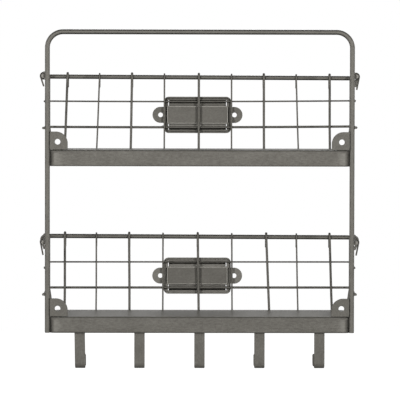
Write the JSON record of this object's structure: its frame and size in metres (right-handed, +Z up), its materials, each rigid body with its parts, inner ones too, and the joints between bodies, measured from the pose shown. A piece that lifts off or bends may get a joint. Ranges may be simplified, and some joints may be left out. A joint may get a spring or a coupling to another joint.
{
  "type": "wall organizer",
  "caption": "Wall-mounted organizer: a bent rod frame holding two wire basket shelves with label holders, and a row of hooks under the lower shelf.",
  "frame": {"origin": "middle of the upper shelf's back lip, on the wall plane", "axes": "+Z up, +Y from the wall into the room, +X to the right as the wall sees the part"},
  "size_m": [0.3894, 0.1205, 0.4068],
  "materials": {
    "rod_paint": "satin warm-grey metallic paint on bent steel rod",
    "shelf_paint": "smooth half-gloss warm-grey metallic paint on folded sheet steel",
    "wire_paint": "satin warm-grey metallic paint on steel wire, thicker at the welds",
    "label_paint": "satin warm-grey metallic paint on pressed sheet steel",
    "strip_paint": "satin warm-grey metallic paint on cut and bent steel strip"
  },
  "bodies": {
    "root": {"frame_hoop": "rod_paint", "hook_1": "strip_paint", "hook_2": "strip_paint", "hook_3": "strip_paint", "hook_4": "strip_paint", "hook_5": "strip_paint", "upper_shelf": "shelf_paint", "upper_left_screw_ear": "strip_paint", "upper_right_screw_ear": "strip_paint", "upper_rim_rod": "rod_paint", "upper_front_wire_1": "wire_paint", "upper_front_wire_2": "wire_paint", "upper_front_wire_3": "wire_paint", "upper_front_wire_4": "wire_paint", "upper_front_wire_5": "wire_paint", "upper_front_wire_6": "wire_paint", "upper_front_wire_7": "wire_paint", "upper_front_wire_8": "wire_paint", "upper_front_wire_9": "wire_paint", "upper_left_wire_1": "wire_paint", "upper_left_wire_2": "wire_paint", "upper_left_wire_3": "wire_paint", "upper_right_wire_1": "wire_paint", "upper_right_wire_2": "wire_paint", "upper_right_wire_3": "wire_paint", "upper_low_long_wire": "wire_paint", "upper_high_long_wire": "wire_paint", "upper_label_frame": "label_paint", "upper_label_plate": "label_paint", "lower_shelf": "shelf_paint", "lower_left_screw_ear": "strip_paint", "lower_right_screw_ear": "strip_paint", "lower_rim_rod": "rod_paint", "lower_front_wire_1": "wire_paint", "lower_front_wire_2": "wire_paint", "lower_front_wire_3": "wire_paint", "lower_front_wire_4": "wire_paint", "lower_front_wire_5": "wire_paint", "lower_front_wire_6": "wire_paint", "lower_front_wire_7": "wire_paint", "lower_front_wire_8": "wire_paint", "lower_front_wire_9": "wire_paint", "lower_left_wire_1": "wire_paint", "lower_left_wire_2": "wire_paint", "lower_left_wire_3": "wire_paint", "lower_right_wire_1": "wire_paint", "lower_right_wire_2": "wire_paint", "lower_right_wire_3": "wire_paint", "lower_low_long_wire": "wire_paint", "lower_high_long_wire": "wire_paint", "lower_label_frame": "label_paint", "lower_label_plate": "label_paint"}
  },
  "joints": []
}
